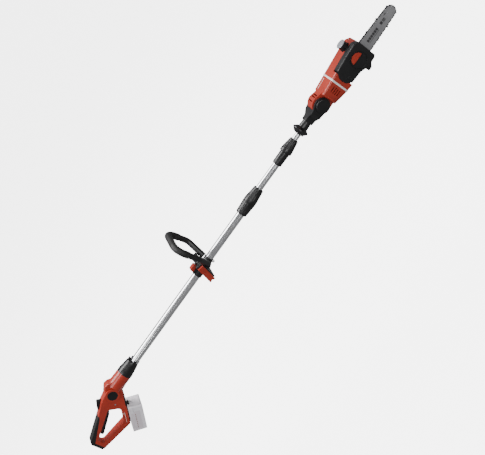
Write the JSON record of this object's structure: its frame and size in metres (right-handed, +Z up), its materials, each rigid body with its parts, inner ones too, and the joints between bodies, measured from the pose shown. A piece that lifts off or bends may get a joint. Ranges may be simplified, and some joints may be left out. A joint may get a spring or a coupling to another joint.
{
  "type": "telescoping pole saw",
  "caption": "Cordless pole saw: rear handle with battery, loop front handle, three-stage twist-lock pole and a tilting chainsaw head with a guide bar.",
  "frame": {"origin": "on the pole's axis in the middle of the front handle's clamp, where the saw balances and is held", "axes": "+X along the pole towards the saw head, +Z up on the side of the loop handle, -Y the side that carries the bar and the chain cover"},
  "size_m": [1.8361, 0.1674, 0.3459],
  "materials": {
    "red_plastic": "satin moulded",
    "black_plastic": "fine grained moulded",
    "grip_rubber": "soft ribbed",
    "aluminium": "drawn and anodised",
    "steel": "brushed",
    "dark_steel": "oiled",
    "bright_steel": "bright plated",
    "pale_plastic": "satin moulded",
    "white_band": "smooth",
    "copper_parts": "plain",
    "cell_wrap": "shrink sleeve",
    "cap_grey": "satin moulded"
  },
  "bodies": {
    "rear_handle": {"lower_tube": "aluminium", "handle_shell_near": "red_plastic", "handle_shell_far": "red_plastic", "handle_screws": "bright_steel", "grip_rubber": "grip_rubber", "butt_cap": "grip_rubber", "neck_ferrule": "black_plastic", "hub_badges": "black_plastic", "power_switch": "black_plastic", "battery_cradle": "black_plastic", "cradle_blades": "copper_parts", "lock_off_spring": "bright_steel", "lower_lock_body": "black_plastic", "lower_lock_collet": "pale_plastic"},
    "trigger": {"trigger": "black_plastic"},
    "lock_off": {"lock_off_button": "black_plastic"},
    "battery": {"battery_case_base": "pale_plastic", "battery_case_top": "pale_plastic", "battery_cells": "cell_wrap"},
    "latch_near": {"battery_latch_near": "pale_plastic"},
    "latch_far": {"battery_latch_far": "pale_plastic"},
    "front_handle": {"handle_sleeve": "black_plastic", "clamp_body": "black_plastic", "loop_frame": "black_plastic", "loop_grip": "grip_rubber", "draw_bolt": "bright_steel", "sleeve_button_spring": "bright_steel"},
    "clamp_lever": {"clamp_lever": "red_plastic"},
    "sleeve_button": {"sleeve_button": "red_plastic"},
    "lower_collar": {"lower_lock_collar": "black_plastic"},
    "middle_stage": {"middle_tube": "aluminium", "middle_tube_bush": "black_plastic", "upper_lock_body": "black_plastic", "upper_lock_collet": "pale_plastic"},
    "upper_collar": {"upper_lock_collar": "black_plastic"},
    "upper_stage": {"upper_tube": "aluminium", "upper_tube_bush": "black_plastic", "knuckle_fork": "black_plastic", "pivot_bolt": "steel"},
    "tilt_knob": {"tilt_knob": "black_plastic"},
    "saw_head": {"head_shell_near": "red_plastic", "head_shell_far": "red_plastic", "head_band": "white_band", "gear_case": "black_plastic", "motor_can": "dark_steel", "drive_bearings": "bright_steel", "bar_stud": "steel", "guide_bar": "steel", "chain_band": "dark_steel", "chain_cutters": "dark_steel", "chain_cover": "black_plastic", "branch_hook": "black_plastic"},
    "drive_shaft": {"crown_gear_shaft": "steel", "drive_sprocket": "dark_steel"},
    "rotor": {"motor_rotor": "steel"},
    "nose_sprocket": {"nose_sprocket": "dark_steel"},
    "cover_knob": {"cover_knob": "black_plastic"},
    "knob_wing": {"knob_wing": "red_plastic"},
    "oil_cap": {"oil_cap": "black_plastic", "oil_cap_disc": "cap_grey"}
  },
  "joints": [
    {"name": "trigger_pull", "type": "hinge", "parent": "rear_handle", "child": "trigger", "pos_m": [-0.634, 0, -0.0205], "axis": [0, 1, 0], "range_deg": [0, 4], "stiffness_Nm_per_rad": 0.4, "springref_deg": -5.73},
    {"name": "lock_off_press", "type": "slide", "parent": "rear_handle", "child": "lock_off", "axis": [0, 0, -1], "range_m": [0, 0.003], "stiffness_N_per_m": 400, "springref_m": -0.001, "deforming": ["lock_off_spring"]},
    {"name": "battery_slide", "type": "slide", "parent": "rear_handle", "child": "battery", "axis": [-0.7071, 0, -0.7071], "range_m": [0, 0.12]},
    {"name": "latch_near_press", "type": "slide", "parent": "battery", "child": "latch_near", "axis": [0, 1, 0], "range_m": [0, 0.003], "stiffness_N_per_m": 500, "springref_m": -0.001},
    {"name": "latch_far_press", "type": "slide", "parent": "battery", "child": "latch_far", "axis": [0, -1, 0], "range_m": [0, 0.003], "stiffness_N_per_m": 500, "springref_m": -0.001},
    {"name": "front_handle_slide", "type": "slide", "parent": "rear_handle", "child": "front_handle", "axis": [1, 0, 0], "range_m": [-0.3, 0.15]},
    {"name": "clamp_lever_swing", "type": "hinge", "parent": "front_handle", "child": "clamp_lever", "pos_m": [-0.00828, -0.0495, -0.03091], "axis": [0.9659, 0, -0.2588], "range_deg": [0, 90]},
    {"name": "sleeve_button_press", "type": "slide", "parent": "front_handle", "child": "sleeve_button", "axis": [0, 0, -1], "range_m": [0, 0.003], "stiffness_N_per_m": 400, "springref_m": -0.001, "deforming": ["sleeve_button_spring"]},
    {"name": "lower_collar_twist", "type": "hinge", "parent": "rear_handle", "child": "lower_collar", "pos_m": [0.3, 0, 0], "axis": [1, 0, 0], "range_deg": [0, 120]},
    {"name": "middle_stage_slide", "type": "slide", "parent": "rear_handle", "child": "middle_stage", "axis": [1, 0, 0], "range_m": [-0.085, 0.36]},
    {"name": "upper_collar_twist", "type": "hinge", "parent": "middle_stage", "child": "upper_collar", "pos_m": [0.5, 0, 0], "axis": [1, 0, 0], "range_deg": [0, 120]},
    {"name": "upper_stage_slide", "type": "slide", "parent": "middle_stage", "child": "upper_stage", "axis": [1, 0, 0], "range_m": [-0.018, 0.45]},
    {"name": "tilt_knob_twist", "type": "hinge", "parent": "upper_stage", "child": "tilt_knob", "pos_m": [0.676, -0.03, 0.004], "axis": [0, 1, 0], "range_deg": [0, 200]},
    {"name": "head_tilt", "type": "hinge", "parent": "upper_stage", "child": "saw_head", "pos_m": [0.676, 0, 0.004], "axis": [0, 1, 0], "range_deg": [-60, 60]},
    {"name": "drive_shaft_spin", "type": "hinge", "parent": "saw_head", "child": "drive_shaft", "pos_m": [0.826, 0, 0], "axis": [0, 1, 0], "continuous": true},
    {"name": "rotor_spin", "type": "hinge", "parent": "saw_head", "child": "rotor", "pos_m": [0.76, 0, 0], "axis": [1, 0, 0], "continuous": true},
    {"name": "nose_sprocket_spin", "type": "hinge", "parent": "saw_head", "child": "nose_sprocket", "pos_m": [1.04, -0.018, 0], "axis": [0, 1, 0], "continuous": true},
    {"name": "cover_knob_twist", "type": "hinge", "parent": "saw_head", "child": "cover_knob", "pos_m": [0.86, -0.04, 0], "axis": [0, 1, 0], "range_deg": [0, 180]},
    {"name": "knob_wing_flip", "type": "hinge", "parent": "cover_knob", "child": "knob_wing", "pos_m": [0.86, -0.0386, 0.005], "axis": [1, 0, 0], "range_deg": [0, 80]},
    {"name": "oil_cap_twist", "type": "hinge", "parent": "saw_head", "child": "oil_cap", "pos_m": [0.868, 0.005, 0.06], "axis": [0, 0, 1], "range_deg": [0, 150]}
  ],
  "couplings": [
    {"joint": "rotor_spin", "follows": "drive_shaft_spin", "ratio": 4},
    {"joint": "nose_sprocket_spin", "follows": "drive_shaft_spin", "ratio": 0.77778}
  ]
}
